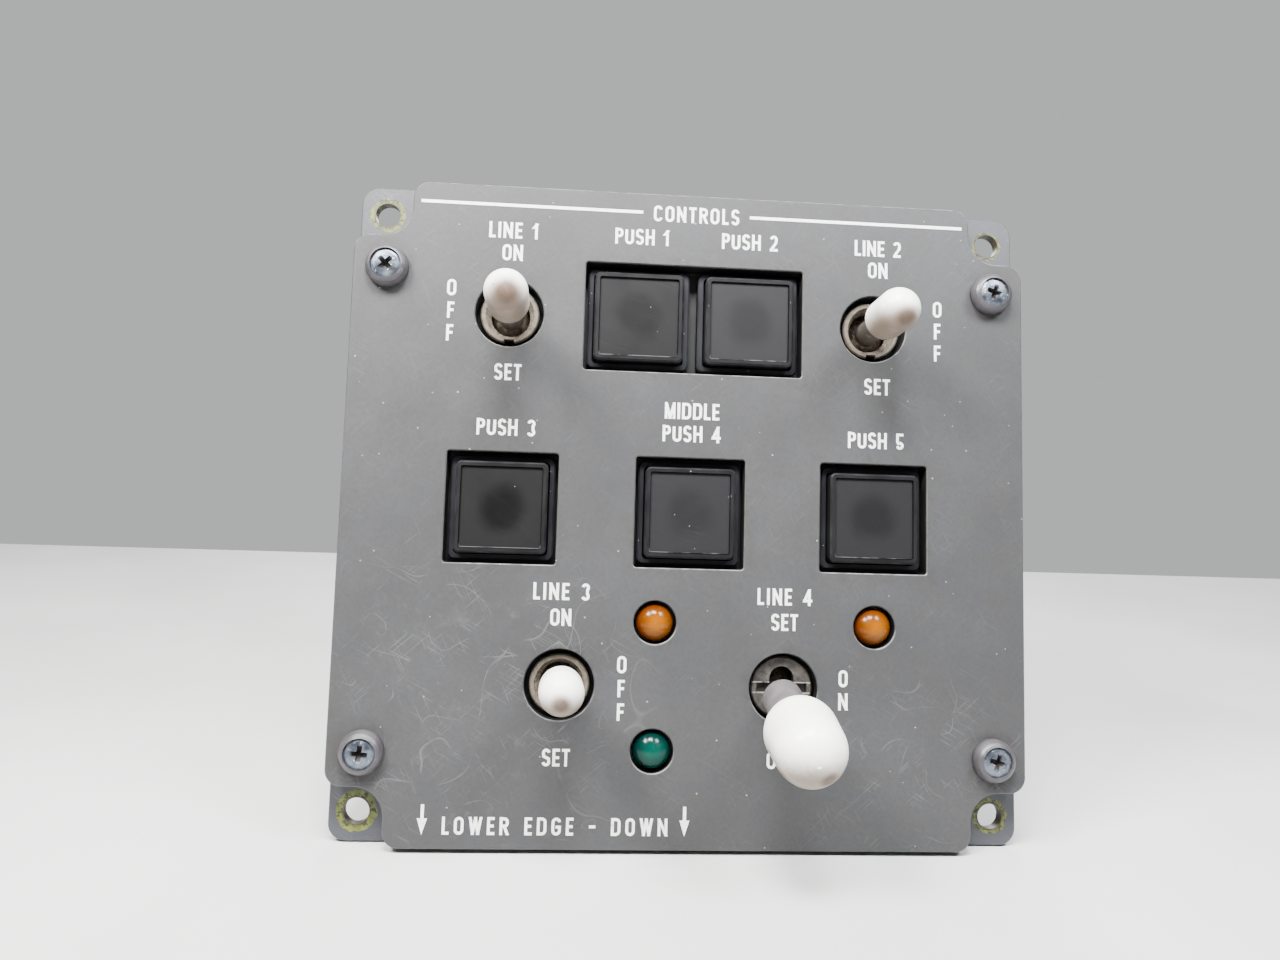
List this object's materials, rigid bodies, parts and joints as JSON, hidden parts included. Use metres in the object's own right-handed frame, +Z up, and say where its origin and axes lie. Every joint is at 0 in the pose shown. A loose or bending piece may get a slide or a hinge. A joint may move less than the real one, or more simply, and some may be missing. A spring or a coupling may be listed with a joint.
{
  "type": "aircraft electrical control panel",
  "caption": "Grey lightplate panel with toggle switches, square pushbuttons and domed lamps on a back plate with corner mounting ears, closed by a box chassis with a round connector.",
  "frame": {"origin": "middle of the four corner mounting holes, on the rear face of the back plate", "axes": "+Z up with the panel's top edge uppermost, +X to the right as the panel is read, the panel faces -Y and the mounting rail lies on the +Y side"},
  "size_m": [0.137, 0.1161, 0.1304],
  "materials": {
    "lightplate_plastic": "matt grey painted acrylic",
    "plate_paint": "satin grey paint",
    "collar_paint": "satin grey paint",
    "zinc_steel": "zinc plated",
    "chassis_aluminium": "clear chromated sheet",
    "bushing_metal": "dull cadmium plate",
    "lock_face_metal": "worn grey metal",
    "lever_metal": "dull plated metal",
    "white_nylon": "semi-matt moulded",
    "knob_nylon": "semi-matt moulded",
    "sleeve_anodised": "grey anodised",
    "case_phenolic": "moulded phenolic",
    "brass_terminals": "bright",
    "button_black": "fine satin black",
    "lens_smoke": "smoked satin",
    "spring_steel": "satin",
    "block_plastic": "moulded",
    "lamp_metal": "black anodised",
    "amber_plastic": "translucent amber",
    "green_plastic": "translucent green",
    "bulb_glass": "clear",
    "shell_anodised": "olive finish",
    "insert_resin": "hard resin",
    "gold_contacts": "gold plated"
  },
  "bodies": {
    "panel": {"back_plate": "plate_paint", "button_1_housing": "button_black", "button_2_housing": "button_black", "button_3_housing": "button_black", "button_4_housing": "button_black", "button_5_housing": "button_black", "button_clamps": "spring_steel", "button_contact_blocks": "block_plastic", "chassis": "chassis_aluminium", "chassis_nuts": "zinc_steel", "chassis_screws": "zinc_steel", "connector_contacts": "gold_contacts", "connector_insert": "insert_resin", "connector_screws": "zinc_steel", "connector_shell": "shell_anodised", "cover_screws": "zinc_steel", "lamp_1_holder": "lamp_metal", "lamp_1_lens": "amber_plastic", "lamp_2_holder": "lamp_metal", "lamp_2_lens": "amber_plastic", "lamp_3_holder": "lamp_metal", "lamp_3_lens": "green_plastic", "lamp_bulbs": "bulb_glass", "lamp_nuts": "lamp_metal", "lightplate": "lightplate_plastic", "lightplate_nuts": "zinc_steel", "lightplate_screws": "zinc_steel", "lock_toggle_bushing": "lock_face_metal", "lock_toggle_case": "case_phenolic", "rear_cover": "chassis_aluminium", "screw_collars": "collar_paint", "toggle_1_bushing": "bushing_metal", "toggle_1_case": "case_phenolic", "toggle_2_bushing": "bushing_metal", "toggle_2_case": "case_phenolic", "toggle_3_bushing": "bushing_metal", "toggle_3_case": "case_phenolic", "toggle_nuts": "zinc_steel", "toggle_pivots": "lever_metal", "toggle_terminals": "brass_terminals", "toggle_washers": "zinc_steel"},
    "toggle_1_lever": {"toggle_1_lever": "lever_metal", "toggle_1_tip": "white_nylon"},
    "toggle_2_lever": {"toggle_2_lever": "lever_metal", "toggle_2_tip": "white_nylon"},
    "toggle_3_lever": {"toggle_3_lever": "lever_metal", "toggle_3_tip": "white_nylon"},
    "lock_lever": {"lock_toggle_lever": "lever_metal"},
    "lock_knob": {"lock_toggle_sleeve": "sleeve_anodised", "lock_toggle_knob": "knob_nylon"},
    "button_1": {"button_1_cap": "button_black", "button_1_lens": "lens_smoke"},
    "button_2": {"button_2_cap": "button_black", "button_2_lens": "lens_smoke"},
    "button_3": {"button_3_cap": "button_black", "button_3_lens": "lens_smoke"},
    "button_4": {"button_4_cap": "button_black", "button_4_lens": "lens_smoke"},
    "button_5": {"button_5_cap": "button_black", "button_5_lens": "lens_smoke"}
  },
  "joints": [
    {"name": "toggle_1_swing", "type": "hinge", "parent": "panel", "child": "toggle_1_lever", "pos_m": [-0.03725, 0.0016, 0.039], "axis": [-1, 0, 0], "range_deg": [-13, 13]},
    {"name": "toggle_2_swing", "type": "hinge", "parent": "panel", "child": "toggle_2_lever", "pos_m": [0.037, 0.0016, 0.039], "axis": [-1, 0, 0], "range_deg": [-13, 13]},
    {"name": "toggle_3_swing", "type": "hinge", "parent": "panel", "child": "toggle_3_lever", "pos_m": [-0.0248, 0.0016, -0.0341], "axis": [-1, 0, 0], "range_deg": [-13, 13]},
    {"name": "lock_toggle_swing", "type": "hinge", "parent": "panel", "child": "lock_lever", "pos_m": [0.01935, 0.0016, -0.0341], "axis": [-1, 0, 0], "range_deg": [0, 25.6]},
    {"name": "lock_knob_pull", "type": "slide", "parent": "lock_lever", "child": "lock_knob", "axis": [-0.0122, -0.9751, -0.2215], "range_m": [0, 0.0025], "stiffness_N_per_m": 500},
    {"name": "button_1_press", "type": "slide", "parent": "panel", "child": "button_1", "axis": [0, 1, 0], "range_m": [0, 0.0022], "stiffness_N_per_m": 400},
    {"name": "button_2_press", "type": "slide", "parent": "panel", "child": "button_2", "axis": [0, 1, 0], "range_m": [0, 0.0022], "stiffness_N_per_m": 400},
    {"name": "button_3_press", "type": "slide", "parent": "panel", "child": "button_3", "axis": [0, 1, 0], "range_m": [0, 0.0022], "stiffness_N_per_m": 400},
    {"name": "button_4_press", "type": "slide", "parent": "panel", "child": "button_4", "axis": [0, 1, 0], "range_m": [0, 0.0022], "stiffness_N_per_m": 400},
    {"name": "button_5_press", "type": "slide", "parent": "panel", "child": "button_5", "axis": [0, 1, 0], "range_m": [0, 0.0022], "stiffness_N_per_m": 400}
  ]
}
